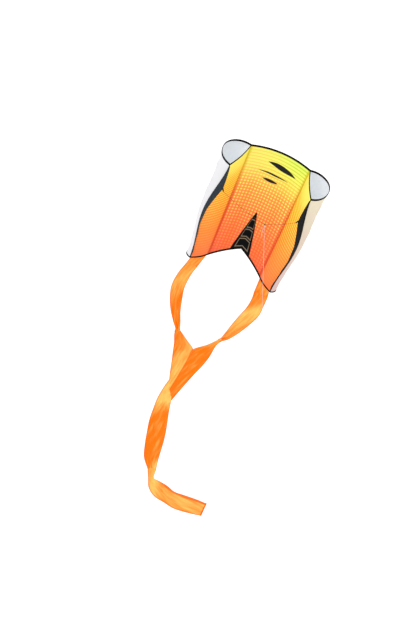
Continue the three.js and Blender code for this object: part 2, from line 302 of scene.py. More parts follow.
def centre_surface(t, down):
    """The centre panel: t from -1 to 1 between the seams, bellied back by camber (1 - t^2)."""
    return stacked(t * spacing(down) / 2, CAMBER * (1 - t * t), -down)


def tube_chord(side, down):
    """A tube's inner seam, the way to its outer seam, the way out of the sail, and its depth."""
    f = np.asarray(down / SEAM_LENGTH, float)
    out = lerp(MOUTH_CHORD_OUT, FOOT_CHORD_OUT, f) + SEAM_BOW * np.sin(np.pi * f) ** 2
    forward = lerp(MOUTH_CHORD_FORWARD, FOOT_CHORD_FORWARD, f)
    inner = stacked(side * spacing(down) / 2, 0, -down)
    chord = stacked(side * out, -forward, 0)
    normal = unit(stacked(side * forward, out, 0))
    return inner, chord, normal, lerp(MOUTH_BULGE, FOOT_BULGE, f)


def tube_face(side, f, down):
    """The flat face: along the chord by f, crowned forwards by a half sine, with soft ripples
    that run in from the keel's tip."""
    inner, chord, normal, _ = tube_chord(side, down)
    crown = FACE_CROWN * np.sin(np.pi * f)
    pull = hump(down, KEEL_TIP_DOWN + 30, 75) * smooth(f, 0.2, 1)
    ripple = 1.3 * pull * np.sin(2 * np.pi * (f * 1.2 + down / 46)) * np.sin(np.pi * f)
    return inner + chord * f[..., None] - normal * (crown + ripple)[..., None]


def tube_back(side, f, down):
    """The round back: half an ellipse on the chord that leans outwards by the square of the
    way down, with shallow wrinkles along and across it."""
    inner, chord, normal, bulge = tube_chord(side, down)
    turn = np.pi * f
    wrinkle = np.sin(turn) ** 2 * (
        0.9 * np.sin(2 * np.pi * (down / 118 + 0.9 * f)) + 0.6 * np.sin(2 * np.pi * (down / 57 - 1.7 * f)))
    out = bulge * np.sin(turn) + wrinkle
    lean = side * FOOT_LEAN * (down / SEAM_LENGTH) ** 2 * np.sin(turn)
    return inner + chord * ((1 - np.cos(turn)) / 2)[..., None] + normal * out[..., None] + stacked(lean, 0, 0)


def keel_way(side):
    return np.array((-side * math.sin(KEEL_LEAN), -math.cos(KEEL_LEAN), 0))


def outer_seam(side, down):
    inner, chord, _, _ = tube_chord(side, down)
    return inner + chord


def keel_surface(side, a, b):
    """The keel: out from the outer seam by a height that rises straight to the tip and falls
    as a power of what is left below it, with a faint flutter in its free edge."""
    rise = np.minimum(b, KEEL_TIP_ROW) / KEEL_TIP_ROW
    fall = np.maximum(b - KEEL_TIP_ROW, 0) / (1 - KEEL_TIP_ROW)
    down = lerp(lerp(KEEL_TOP_INSET, KEEL_TIP_DOWN, rise), SEAM_LENGTH - KEEL_FOOT_INSET, fall)
    height = lerp(KEEL_END_HEIGHT, KEEL_HEIGHT, rise * (1 - fall) ** KEEL_TAPER)
    root = outer_seam(side, down)
    flutter = 1.1 * a * np.sin(2 * np.pi * down / 96) * smooth(down, 20, 120) * fall
    reach = KEEL_ROOT_GAP * 0.1 + a * (height + KEEL_ROOT_GAP * 0.9)
    return root + keel_way(side) * reach[..., None] + stacked(side * flutter, 0, 0)


def tab_root(side):
    return outer_seam(side, KEEL_TIP_DOWN) + keel_way(side) * (KEEL_ROOT_GAP + KEEL_HEIGHT + GAP)


def leg_knot_middle(side):
    return tab_root(side) + keel_way(side) * (TAB_LENGTH + GAP + LEG_KNOT_RADIUS)


def leg_route(name, side, count=25):
    """A bridle leg from its knot to the tow knot, sagging by 4 sag s (1 - s)."""
    start = leg_knot_middle(side)
    way = unit(TOW - start)
    start = start + way * (LEG_KNOT_RADIUS + GAP)
    end = TOW - way * (TOW_KNOT_RADIUS + GAP)
    s = np.linspace(0, 1, count)[:, None]
    return lerp(start, end, s) - np.array((0, 0, 4 * LEG_SAG[name])) * s * (1 - s)


LINE_KNOT = TOW + LINE_WAY * (TOW_KNOT_RADIUS + GAP + LINE_KNOT_RADIUS)
LINE_START = LINE_KNOT + LINE_WAY * (LINE_KNOT_RADIUS + GAP)
LINE_END = LINE_START + LINE_WAY * LINE_LENGTH
LOOP_KNOT = LINE_END + LINE_WAY * (GAP + LINE_KNOT_RADIUS)


def loop_route(count=61):
    """The hand loop: a teardrop whose width is sin(turn) sin(turn / 2) round its knot."""
    across = unit(np.cross((0, 0, 1), LINE_WAY))
    turn = np.linspace(LOOP_OPENING, 2 * np.pi - LOOP_OPENING, count)[:, None]
    out = LINE_KNOT_RADIUS + GAP + LOOP_LENGTH * (1 - np.cos(turn)) / 2
    wide = LOOP_WIDTH / 2 * np.sin(turn) * np.sin(turn / 2) + CORD_DIAMETER * np.cos(turn / 2)
    return LOOP_KNOT + LINE_WAY * out + across * wide


def knot_line(middle, radius, count=120):
    """A knot's turns: a line that goes three times round a ring while it goes twice through
    it, and its normals on the ring's surface."""
    t = np.linspace(0, 2 * np.pi, count, endpoint=False)
    ring, bead = 0.5 * radius, 0.26 * radius
    normals = stacked(np.cos(3 * t) * np.cos(2 * t), np.cos(3 * t) * np.sin(2 * t), np.sin(3 * t))
    line = stacked(ring * np.cos(2 * t), ring * np.sin(2 * t), 0) + bead * normals
    return middle + line, normals


def hem_curl(a):
    return HEM_CURL * (hump(a, 0, HEM_CURL_WIDTH) + hump(a, 1, HEM_CURL_WIDTH))


def cloth_drift(a, down):
    """Two folds that run down a ribbon and drift across it."""
    return np.sin(2 * np.pi * (1.6 * a + down / 170)) + 0.5 * np.sin(2 * np.pi * (3.1 * a - down / 83))


def panel_ripple(t, down):
    """Soft waves that slant across the centre panel."""
    return 0.9 * np.sin(2 * np.pi * (t * 1.4 + down / 160))


def ribbon_points(stations, a, b, deep, waves):
    """A ribbon between two smooth edges through its stations, hollowed by deep (1 - (2a - 1)^2),
    with hems that curl forwards and folds that run down it and drift across."""
    edges = spline(stations, b)
    flat = lerp(edges[..., :2], edges[..., 2:], a[..., None])
    length = np.linalg.norm(np.diff(np.asarray(stations, float)[:, :2], axis=0), axis=1).sum()
    down = b * length
    hollow = deep * (1 - (2 * a - 1) ** 2)
    drift = waves * cloth_drift(a, down) * np.sin(np.pi * a)
    return stacked(flat[..., 0], TAIL_DEPTH + hollow - hem_curl(a) + drift, flat[..., 1])


# ---------------------------------------------------------------- materials


class Value:
    """A socket in a material. Arithmetic on it adds Math nodes."""

    def __init__(self, paint, socket):
        self.paint = paint
        self.socket = socket

    def math(self, operation, *others, clamp=False):
        values = dict(enumerate([self, *others]))
        return self.paint.node("ShaderNodeMath", {"operation": operation, "use_clamp": clamp}, values)

    def __add__(self, other):
        return self.math("ADD", other)

    def __sub__(self, other):
        return self.math("SUBTRACT", other)

    def __rsub__(self, other):
        return self.paint.node("ShaderNodeMath", {"operation": "SUBTRACT"}, {0: other, 1: self})

    def __mul__(self, other):
        return self.math("MULTIPLY", other)

    def __truediv__(self, other):
        return self.math("DIVIDE", other)

    def __abs__(self):
        return self.math("ABSOLUTE")

    __radd__ = __add__
    __rmul__ = __mul__

    def clamped(self):
        return self.math("ADD", 0.0, clamp=True)

    def below(self, limit, soft):
        """1 under the limit and 0 over it, with an edge as wide as soft."""
        return ((limit - self) / soft + 0.5).clamped()

    def wave(self, pitch):
        """From 0 to 1 and back once in each pitch."""
        return (self * (2 * math.pi / pitch)).math("COSINE") * 0.5 + 0.5


class Paint:
    """A material under construction."""

    def __init__(self, name):
        self.material = bpy.data.materials.new(name)
        self.material.use_nodes = True
        self.tree = self.material.node_tree
        self.tree.nodes.clear()

    def node(self, kind, settings, inputs, out=0):
        made = self.tree.nodes.new(kind)
        for key, value in settings.items():
            if key == "stops":
                ramp = made.color_ramp.elements
                while len(ramp) < len(value):
                    ramp.new(0.5)
                for stop, (place, colour) in zip(ramp, value):
                    stop.position = place
                    stop.color = (*colour, 1)
            else:
                setattr(made, key, value)
        for key, value in inputs.items():
            if isinstance(value, Value):
                self.tree.links.new(value.socket, made.inputs[key])
            else:
                made.inputs[key].default_value = value
        return Value(self, made.outputs[out]) if made.outputs else None

    def parts(self, vector):
        """The x, y and z of a vector."""
        first = self.node("ShaderNodeSeparateXYZ", {}, {0: vector})
        return [Value(self, socket) for socket in first.socket.node.outputs]

    def cloth(self):
        """u across and v down, in metres on the flat cloth."""
        return self.parts(self.node("ShaderNodeUVMap", {"uv_map": "cloth"}, {}))[:2]

    def place(self):
        return self.node("ShaderNodeTexCoord", {}, {}, out=3)

    def at(self, x, y):
        return self.node("ShaderNodeCombineXYZ", {}, {0: x, 1: y})

    def noise(self, vector, scale, detail=3.0, roughness=0.5):
        inputs = {"Vector": vector, "Scale": scale, "Detail": detail, "Roughness": roughness}
        return self.node("ShaderNodeTexNoise", {}, inputs)

    def mix(self, first, second, share):
        """One colour turning into another as share goes from 0 to 1."""
        colour = lambda c: c if isinstance(c, Value) else (*c, 1)
        inputs = {0: share, 6: colour(first), 7: colour(second)}
        return self.node("ShaderNodeMix", {"data_type": "RGBA"}, inputs, out=2)

    def ramp(self, share, stops):
        return self.node("ShaderNodeValToRGB", {"stops": stops}, {0: share})

    def levels(self, share, stops):
        """A number that goes from one stop's level to the next."""
        return self.ramp(share, [(place, (level,) * 3) for place, level in stops])

    def bump(self, height, strength, distance):
        inputs = {"Strength": strength, "Distance": distance, "Height": height}
        return self.node("ShaderNodeBump", {}, inputs)

    def finish(self, colour, roughness, normal=None, glow=0.0, gloss=0.1):
        """Ends the material. glow is the share of its own colour that comes through from behind."""
        given = colour if isinstance(colour, Value) else (*colour, 1)
        inputs = {"Base Color": given, "Roughness": roughness, "Specular IOR Level": gloss}
        if glow:
            inputs |= {"Emission Color": given, "Emission Strength": glow}
        if normal is not None:
            inputs["Normal"] = normal
        shader = self.node("ShaderNodeBsdfPrincipled", {}, inputs)
        self.node("ShaderNodeOutputMaterial", {}, {0: shader})
        return self.material


def weave_height(paint, u, v, pitch=0.005):
    """Ripstop cloth: a fine plain weave, with a thicker thread every pitch both ways."""
    fine = u.wave(0.0011) * v.wave(0.0011)
    thick = u.wave(pitch).math("POWER", 24.0).math("MAXIMUM", v.wave(pitch).math("POWER", 24.0))
    return fine * 0.35 + thick


def print_ground(paint, look, v):
    """The print's ground colour, from the leading edge to the foot, and how far down it is."""
    share = v * (1000 / SEAM_LENGTH)
    stops = (
        (0.0, look.print_top), (0.14, look.print_top), (0.34, look.print_upper), (0.58, look.print_middle),
        (0.82, look.print_lower), (1.0, look.print_foot),
    )
    return share, paint.ramp(share, [(place, tuple(colour)) for place, colour in stops])


def printed_dots(paint, look, u, v, share, columns):
    """Rows of light ink across the sail. Each row breaks into dots further down the sail, the
    more so as columns goes from 0 to 1."""
    row = (v.wave(look.row_pitch) * 2.6 - 0.7).clamped()
    column = (u.wave(look.dot_pitch) * 2.6 - 0.7).clamped()
    broken = (share * 5 - 0.5).clamped() * columns
    return row * (1 - broken * (1 - column))


def dot_strength(paint, share):
    """How strong the light ink is: soft at the leading edge, strong below it, faint at the foot."""
    return paint.levels(share, ((0.0, 0.85), (0.2, 0.95), (0.55, 1.0), (0.8, 0.75), (1.0, 0.15)))


def light_ink(paint, look, share):
    """The dots' colour: pale green-yellow at the top and light orange at the foot."""
    stops = ((0.0, look.dot_top), (0.35, look.dot_colour), (0.75, look.dot_foot), (1.0, look.dot_foot))
    return paint.ramp(share, [(place, tuple(colour)) for place, colour in stops])


def tapered_bar(u, v, middle, half_length, half_width, slope):
    """A bar that tapers to a point at both ends, as a share from 0 to 1."""
    x = (u - middle[0]) / half_length
    y = v - middle[1] - (u - middle[0]) * slope
    return (abs(y) - (1 - x * x) * half_width).below(0.0, 0.0008)


def centre_cloth(look):
    """Printed ripstop: light rows that break into a grid of dots lower down, and a plain mark
    of tapered bars near the leading edge."""
    paint = Paint("printed centre cloth")
    u, v = paint.cloth()
    share, ground = print_ground(paint, look, v)
    fresh = (u * 9 - 0.35).clamped() * (1 - share * 2.7).clamped()
    green = paint.mix(ground, tuple(look.print_green), fresh * 0.85)
    dots = printed_dots(paint, look, u, v, share, 1.0)
    inked = paint.mix(green, light_ink(paint, look, share), dots * dot_strength(paint, share))
    # Painted shade in the crease along each inner seam: a narrow band in the seam colours, olive at the top
    # and red-brown at the foot.
    side = abs(u - 0.1)
    crease = ((side - (0.0865 - share * 0.009)) * 160).clamped()
    seam = paint.mix(tuple(look.seam_shade_top), tuple(look.seam_shade_foot), (share * 2.4).clamped())
    shaded = paint.mix(inked, seam, crease * 0.75)
    # Painted shade along the centre panel's two creases, in the darker ink's colour, growing down the panel.
    folds = (hump_value(u, 0.051, 0.008) + hump_value(u, 0.148, 0.009)) * (share * 1.5 - 0.2).clamped()
    shaded = paint.mix(shaded, tuple(look.line_ink_and_fold_shade), folds * 0.25)
    bars = (
        ((0.118, 0.062), 0.048, 0.0105, 0.16), ((0.1, 0.1), 0.05, 0.0035, 0.04),
        ((0.098, 0.128), 0.026, 0.006, 0.04),
    )
    mark = tapered_bar(u, v, *bars[0])
    for bar in bars[1:]:
        mark = mark.math("MAXIMUM", tapered_bar(u, v, *bar))
    marked = paint.mix(shaded, (0.008, 0.008, 0.01), mark)
    normal = paint.bump(weave_height(paint, u, v), 0.25, 0.0002)
    return paint.finish(marked, 0.5, normal, glow=look.glow)


def hump_value(x, middle, width):
    """1 at middle, falling to 0 at about two widths from it."""
    away = (x - middle) / width
    return (1 - away * away * 0.25).clamped()


def side_cloth(look, side):
    """Printed ripstop whose rows run on from the centre's as close lines, with painted shade
    along the inner seam and a painted highlight by the mouth."""
    paint = Paint("printed side cloth " + side)
    u, v = paint.cloth()
    share, ground = print_ground(paint, look, v)
    warm = paint.mix(ground, tuple(look.side_warm), (share * 3.4).clamped() * (1 - share * 0.85).clamped())
    dots = printed_dots(paint, look, u, v, share, 0.45)
    inked = paint.mix(warm, light_ink(paint, look, share), dots * dot_strength(paint, share) * 0.7)
    between = (v.wave(look.row_pitch) * -2.2 + 1.6).clamped() * (share * 3 - 0.4).clamped()
    lined = paint.mix(inked, tuple(look.line_ink_and_fold_shade), between * (1 - share * 0.75).clamped() * 0.5)
    # Painted highlight: the side cloths turn pale near the mouth, on the right only away from the inner seam.
    pale = (1 - share * 4.4).clamped() if side == "left" else (1 - share * 4.0).clamped() * (u * 16).clamped()
    lit = paint.mix(lined, tuple(look.side_highlight), pale * 0.7)
    # Painted shade along the inner seam: the cloth darkens to the seam colours within 9 mm of it.
    seam = paint.mix(tuple(look.seam_shade_top), tuple(look.seam_shade_foot), (share * 2.4).clamped())
    shaded = paint.mix(lit, seam, (0.009 - u).math("MULTIPLY", 180.0, clamp=True) * 0.8)
    normal = paint.bump(weave_height(paint, u, v), 0.25, 0.0002)
    return paint.finish(shaded, 0.5, normal, glow=look.glow)


def back_cloth(look, side):
    """Plain thin ripstop: white on the left, and tinted on the right by the print behind it."""
    paint = Paint("plain back cloth " + side)
    u, v = paint.cloth()
    if side == "left":
        top, foot = look.back_left, look.back_left_foot
    else:
        top, foot = look.back_right, look.back_right_foot
    clouds = paint.noise(paint.at(u * 3, v), 9.0, 4.0)
    soft = paint.mix(tuple(top), tuple(foot), (v * 2.4 + clouds * 0.5 - 0.35).clamped())
    creases = paint.noise(paint.at(u * 3.2, v * 0.9), 22.0, 2.0)
    normal = paint.bump(weave_height(paint, u, v) * 0.1 + abs(creases - 0.5) * 8, 0.4, 0.0006)
    return paint.finish(soft, 0.5, normal, glow=0.12)


def lining_cloth(look):
    """The plain inside of the tubes, softly creased."""
    paint = Paint("tube lining")
    u, v = paint.cloth()
    # Painted light and shade: the white inside cloth, tinted blue-grey as painted shade, with a glow as
    # painted light.
    clouds = paint.noise(paint.at(u, v), 11.0, 2.0)
    soft = paint.mix(tuple(look.lining), tuple(c * 1.12 for c in look.lining), clouds)
    return paint.finish(soft, 0.6, paint.bump(clouds, 0.4, 0.004), glow=0.19)


def tape_cloth(look):
    """Folded black tape: ribs across it and a row of stitches along its inner edge."""
    paint = Paint("black edge tape")
    u, v = paint.cloth()
    ribs = v.wave(0.0009)
    stitch = (abs(u - 0.0062).below(0.0004, 0.0003)) * (v.wave(0.0042) * 3 - 1).clamped()
    tone = paint.mix(tuple(look.black), (0.03, 0.03, 0.034), stitch * 0.8 + ribs * 0.1)
    normal = paint.bump(ribs * 0.3 + stitch, 0.4, 0.0003)
    return paint.finish(tone, 0.7, normal, gloss=0.02)


def black_cloth(look, side):
    """Black ripstop, greyer where the sky shows on it."""
    paint = Paint("black ripstop " + side)
    u, v = paint.cloth()
    # Painted reflection of the sky, mottled by noise: slate on the left keel, near black on the right.
    reflection_mottle = paint.noise(paint.at(u, v), 60.0, 4.0)
    sky = tuple(look.sky_reflection) if side == "left" else (0.006, 0.006, 0.008)
    tone = paint.mix(tuple(look.black), sky, (reflection_mottle + 0.3).clamped())
    normal = paint.bump(weave_height(paint, u, v), 0.35, 0.0002)
    return paint.finish(tone, 0.6, normal, gloss=0.03)


def gusset_cloth(look):
    """Black ripstop with tan topstitching: plain outlined cells, one above another."""
    paint = Paint("stitched gusset cloth")
    u, v = paint.cloth()
    across = abs(u - 0.5)
    stitches = None
    for top, foot in ((0.2, 0.42), (0.48, 0.67), (0.73, 0.93)):
        rim = (across - 0.34).math("MAXIMUM", (abs(v - (top + foot) / 2) - (foot - top) / 2) * 1.6)
        cell = abs(rim).below(0.018, 0.02)
        stitches = cell if stitches is None else stitches.math("MAXIMUM", cell)
    tone = paint.mix(tuple(look.black), tuple(look.tan_thread), stitches * 0.75)
    normal = paint.bump(stitches, 0.4, 0.0004)
    return paint.finish(tone, 0.6, normal, gloss=0.03)


def tail_cloth(look, name, length, paleness, slant, fold=0.0):
    """Thin ribbon cloth: deeper where the hems are double, puckered along them, and paler where
    light comes through its folds, by how pale it is at shares of its length. fold is how strongly
    its upper edge, which folds over itself further along, is deepened."""
    paint = Paint(name)
    u, v = paint.cloth()
    rim = (abs(u - 0.5) - 0.43).math("MULTIPLY", 16.0, clamp=True)
    share = v * (1 / length) + (u - 0.5) * slant
    streaks = paint.noise(paint.at(u * 2.4 + v * 7, v * 5), 2.4, 2.0)
    base = paint.levels(share, paleness)
    light = (base + (streaks - 0.5) * 1.5).clamped()
    lit = paint.mix(tuple(look.tail_colour), tuple(look.tail_pale), light * (1 - rim * 0.7))
    # Painted shade of soft wrinkles: noise patches that deepen the colour.
    shade = (paint.noise(paint.at(u * 2.2 - v * 8, v * 6), 2.6, 2.0) * 2.6 - 1.35).clamped()
    shaded = paint.mix(lit, tuple(look.tail_deep_and_shade), shade * 0.55)
    tone = paint.mix(shaded, tuple(look.tail_deep_and_shade), rim * 0.6)
    if fold:
        folded = (u - 0.78).math("MULTIPLY", 30.0, clamp=True) * (share * 5 - 1.6).clamped()
        tone = paint.mix(tone, tuple(look.tail_deep_and_shade), folded * fold)
    pucker = v.wave(0.0046) * rim
    crumple = paint.noise(paint.at(u * 3, v * 22), 3.0, 4.0)
    normal = paint.bump(crumple * 2.4 + pucker * 0.5, 0.5, 0.0016)
    return paint.finish(tone, 0.42, normal, glow=look.tail_glow, gloss=0.05)


def hem_cloth(look):
    """The ribbon's cloth folded over twice, deeper in colour, with a row of stitches."""
    paint = Paint("tail ribbon, hem")
    u, v = paint.cloth()
    stitch = abs(u - 0.0075).below(0.0004, 0.0003) * (v.wave(0.004) * 3 - 1).clamped()
    mottle = paint.noise(paint.at(u * 40, v * 40), 4.0) * 0.3
    tone = paint.mix(tuple(look.tail_deep_and_shade), (0.75, 0.14, 0.0), stitch + mottle)
    normal = paint.bump(stitch + v.wave(0.004) * 0.4, 0.4, 0.0004)
    return paint.finish(tone, 0.45, normal, glow=look.tail_glow * 0.6)


def cord_finish(name, colour, groove_shade):
    """Braided cord: two sets of strands that cross as they wind round it."""
    paint = Paint(name)
    u, v = paint.cloth()
    one = (u * 0.0016 + v).wave(0.0008)
    two = (u * 0.0016 - v).wave(0.0008)
    braid = one.math("MAXIMUM", two)
    # Painted shade in the grooves between the strands.
    tone = paint.mix(tuple(groove_shade), tuple(colour), braid)
    normal = paint.bump(braid, 0.5, 0.0001)
    return paint.finish(tone, 0.6, normal)


def floor_finish(look):
    paint = Paint("plain pale floor")
    cloud = paint.noise(paint.place(), 0.6, 2.0)
    tone = paint.mix(tuple(look.floor_colour), tuple(c * 0.99 for c in look.floor_colour), cloud)
    return paint.finish(tone, 0.9, glow=look.floor_glow, gloss=0.0)


# ---------------------------------------------------------------- settings


def colour_setting(name, description, default):
    return bpy.props.FloatVectorProperty(
        name=name, description=description, default=default, size=3, subtype="COLOR", min=0, max=1)


def length_setting(name, description, default):
    return bpy.props.FloatProperty(
        name=name, description=description, default=default, min=0, unit="LENGTH", precision=5)


class KiteLook(bpy.types.PropertyGroup):
    """Colours and patterns of the kite's cloths and cords."""

    print_top: colour_setting("Print at the top", "Ground colour along the leading edge", (0.98, 0.66, 0.13))
    print_upper: colour_setting("Print, upper", "Ground colour a third of the way down", (0.98, 0.3, 0.06))
    print_middle: colour_setting("Print, middle", "Ground colour halfway down", (0.92, 0.17, 0.045))
    print_lower: colour_setting("Print, lower", "Ground colour above the foot", (0.88, 0.125, 0.04))
    print_foot: colour_setting(
        "Print at the foot", "Ground colour along the trailing edge", (0.8, 0.095, 0.045))
    print_green: colour_setting(
        "Print, green", "What the right of the leading edge turns to", (0.36, 0.68, 0.02))
    # The darker ink of the side cloths' lines, also used for the painted shade along the centre panel's
    # creases.
    line_ink_and_fold_shade: colour_setting(
        "Print lines", "The darker ink between the side cloths' rows", (0.72, 0.13, 0.0))
    # The two seam colours are painted shade in the creases along the inner seams.
    seam_shade_top: colour_setting(
        "Seam at the top", "Both cloths along the inner seams, upper end", (0.56, 0.54, 0.0))
    seam_shade_foot: colour_setting(
        "Seam at the foot", "Both cloths along the inner seams, lower end", (0.6, 0.05, 0.01))
    side_warm: colour_setting("Side cloth", "What the side cloths lean towards", (1.0, 0.42, 0.0))
    # Painted highlight on the side cloths by the mouths.
    side_highlight: colour_setting("Side cloth, pale", "The side cloths by the mouths", (0.92, 0.9, 0.16))
    dot_top: colour_setting("Dots at the top", "Light ink along the leading edge", (0.76, 0.9, 0.16))
    dot_colour: colour_setting("Dots", "Light ink of the rows and dots", (0.95, 0.86, 0.14))
    dot_foot: colour_setting("Dots at the foot", "Light ink along the trailing edge", (1.0, 0.36, 0.07))
    dot_pitch: length_setting("Dot pitch", "From one dot to the next across the cloth", 0.0094)
    row_pitch: length_setting("Row pitch", "From one row of dots to the next", 0.0129)
    back_left: colour_setting("Left back, top", "The left tube's round back by its mouth", (0.79, 0.79, 0.81))
    back_left_foot: colour_setting(
        "Left back, foot", "The left tube's round back by its foot", (0.8, 0.77, 0.8))
    back_right: colour_setting(
        "Right back, top", "The right tube's round back by its mouth", (0.88, 0.78, 0.58))
    back_right_foot: colour_setting(
        "Right back, foot", "The right tube's round back by its foot", (0.74, 0.52, 0.49))
    black: colour_setting("Black", "Tapes, keels and gusset", (0.004, 0.004, 0.005))
    # Painted reflection of the sky on the left keel.
    sky_reflection: colour_setting("Slate", "The left keel where the sky shows on it", (0.028, 0.042, 0.056))
    # The tubes' white inside, tinted blue-grey as painted shade.
    lining: colour_setting("Lining", "The tubes' inside", (0.79, 0.81, 0.825))
    tan_thread: colour_setting("Tan thread", "The gusset's topstitching", (0.38, 0.3, 0.2))
    tail_colour: colour_setting("Tail", "The ribbon tail", (1.0, 0.17, 0.0))
    tail_pale: colour_setting("Tail, pale", "Where light comes through the ribbon", (1.0, 0.53, 0.12))
    # Deeper colour where the ribbon is double, and also the painted shade of its wrinkles.
    tail_deep_and_shade: colour_setting("Tail, deep", "Where the ribbon is double", (1.0, 0.125, 0.0))
    line_colour: colour_setting("Flying line", "The line and its knots", (0.95, 0.9, 0.88))
    bridle_colour: colour_setting("Bridle", "The bridle legs and their knots", (0.2, 0.12, 0.05))
    floor_colour: colour_setting("Floor", "The floor under the kite", (0.95, 0.95, 0.95))
    floor_glow: bpy.props.FloatProperty(
        name="Floor glow", description="Light that the floor gives off", default=0.6, min=0)
    glow: bpy.props.FloatProperty(
        name="Sail glow", description="Light that comes through the sail", default=0.3, min=0)
    tail_glow: bpy.props.FloatProperty(
        name="Tail glow", description="Light that comes through the tail", default=0.3, min=0)


class KiteSizes(bpy.types.PropertyGroup):
    """Sizes of the kite's cloths and tapes."""

    cloth: length_setting("Cloth", "Thickness of the sail's cloth", 0.0003)
    ribbon: length_setting("Ribbon", "Thickness of the tail's cloth", 0.00025)
    tape_width: length_setting("Tape width", "Width of a folded edge tape", 0.0078)
    tape_thickness: length_setting("Tape thickness", "Thickness of a folded edge tape", 0.0018)
    camera_distance: length_setting("Camera distance", "From the camera to the sail", 12.0)


def look():
    return bpy.context.scene.kite_look


def sizes():
    return bpy.context.scene.kite_sizes


def dress(made, material, nodes, body=None, lining=None, inside_first=False):
    """Paints a piece, and puts it on its body in place of its CAD nodes. A lining
    goes on the side that its modifier adds, or on the mesh's own side if inside_first."""
    both = [material, lining] if lining else [material]
    for each in reversed(both) if inside_first else both:
        made.data.materials.append(each)
    if lining:
        made.modifiers["thickness"].material_offset = 1
    if nodes:
        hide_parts(*nodes)
    if body:
        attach(made, body)
    return made


def once(name, make, *values):
    """A material by its name, made the first time that it is asked for."""
    return bpy.data.materials.get(name) or make(*values)


def edge_tape(name, edge, inward, facing):
    """A tape of the sail's width and thickness along an edge."""
    return tape_piece(name, edge, inward, facing, sizes().tape_width / MM, sizes().tape_thickness / MM)


# ---------------------------------------------------------------- operators


class KITE_OT_stage(bpy.types.Operator):
    """Makes the camera, the soft lights and the pale floor"""

    bl_idname = "kite.stage"
    bl_label = "Stage"

    def execute(self, context):
        scene = context.scene
        azimuth, elevation, roll = (math.radians(turn) for turn in CAMERA_TURNS)
        distance = sizes().camera_distance
        towards = np.array((math.sin(azimuth) * math.cos(elevation),
                            -math.cos(azimuth) * math.cos(elevation), math.sin(elevation)))
        level = np.array((math.cos(azimuth), math.sin(azimuth), 0))
        rising = np.cross(towards, level)
        right = level * math.cos(roll) + rising * math.sin(roll)
        up = rising * math.cos(roll) - level * math.sin(roll)
        eye = SAIL_MIDDLE + distance * towards
        middle = SAIL_MIDDLE - VIEW_MIDDLE_LEFT * right - VIEW_MIDDLE_DOWN * up
        back = unit(eye - middle)
        right = unit(np.cross(up, back))
        camera = bpy.data.objects.new("camera", bpy.data.cameras.new("camera"))
        camera.data.lens = CAMERA_LENS
        camera.data.clip_end = 60
        scene.collection.objects.link(camera)
        turn = np.eye(4)
        turn[:3, 0], turn[:3, 1], turn[:3, 2], turn[:3, 3] = right, np.cross(back, right), back, eye
        camera.matrix_world = Matrix(turn.tolist())
        scene.camera = camera

        lights = (
            ("key light", 95, 4.0, eye * 0.35 + right * -2.6 + up * 2.2),
            ("fill light", 30, 5.0, eye * 0.35 + right * 3.4 - up * 0.6),
            ("back light", 30, 4.0, np.array((0.6, 3.6, 1.4))),
        )
        for name, power, size, place in lights:
            lamp = bpy.data.lights.new(name, "AREA")
            lamp.energy = power
            lamp.size = size
            made = bpy.data.objects.new(name, lamp)
            toward = unit(np.asarray(place) - np.array((0, 0.1, -0.3)))
            side = unit(np.cross((0.1, 0.2, 1), toward))
            frame_of = np.eye(4)
            frame_of[:3, 0], frame_of[:3, 1], frame_of[:3, 2] = side, np.cross(toward, side), toward
            frame_of[:3, 3] = place
            made.matrix_world = Matrix(frame_of.tolist())
            scene.collection.objects.link(made)

        world = bpy.data.worlds.new("soft daylight")
        world.use_nodes = True
        sky = world.node_tree.nodes["Background"]
        sky.inputs["Color"].default_value = (1, 1, 1, 1)
        sky.inputs["Strength"].default_value = 0.5
        scene.world = world
        scene.view_settings.view_transform = "Standard"

        a, b = grid(2, 2)
        ground = stacked(lerp(-FLOOR_REACH, FLOOR_REACH, a), lerp(-FLOOR_REACH, FLOOR_REACH, b), FLOOR_LEVEL)
        floor = lay_mesh("floor", ground, np.stack([a, b], -1))
        floor.data.materials.append(floor_finish(look()))
        return {"FINISHED"}


class KITE_OT_lines(bpy.types.Operator):
    """Makes the bridle's legs and knots, the flying line, its tag end and its hand loop"""

    bl_idname = "kite.lines"
    bl_label = "Bridle and line"

    def execute(self, context):
        # The second colour of each cord is the painted shade in its grooves.
        bridle = cord_finish("bridle cord", look().bridle_colour, (0.05, 0.03, 0.015))
        white = cord_finish("flying line cord", look().line_colour, (0.6, 0.5, 0.46))

        def add_knot(name, middle, radius, material, body):
            line, normals = knot_line(middle, radius)
            made = tube(name + "_turns", line, 0.22 * radius, closed=True, normals=normals)
            return dress(made, material, [name], body)

        add_knot("tow_knot", TOW, TOW_KNOT_RADIUS, bridle, "sail")
        for name, side in SIDES:
            body = name + "_tube"
            route = leg_route(name, side)
            add_knot(name + "_leg_knot", leg_knot_middle(side), LEG_KNOT_RADIUS, bridle, body)
            leg = tube(name + "_leg_cord", route, CORD_DIAMETER / 2)
            dress(leg, bridle, [name + "_bridle_leg"])
            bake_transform(leg)

        add_knot("line_knot", LINE_KNOT, LINE_KNOT_RADIUS, white, "tow_line")
        tag_line = spline(np.asarray(TAG_END) + LINE_KNOT, np.linspace(0, 1, 21))
        tag = tube("line_tag_end", tag_line, CORD_DIAMETER / 2)
        dress(tag, white, ["line_tag"], "tow_line")

        loop_knot = add_knot("hand_loop_knot", LOOP_KNOT, LINE_KNOT_RADIUS, white, "tow_line")
        run = np.vstack([lerp(LINE_START, LINE_END, np.linspace(0, 1, 20)[:, None]), loop_route(37)])
        line = tube("flying_line_cord", run, CORD_DIAMETER / 2)
        dress(line, white, ["flying_line", "hand_loop"], "tow_line")
        return {"FINISHED"}


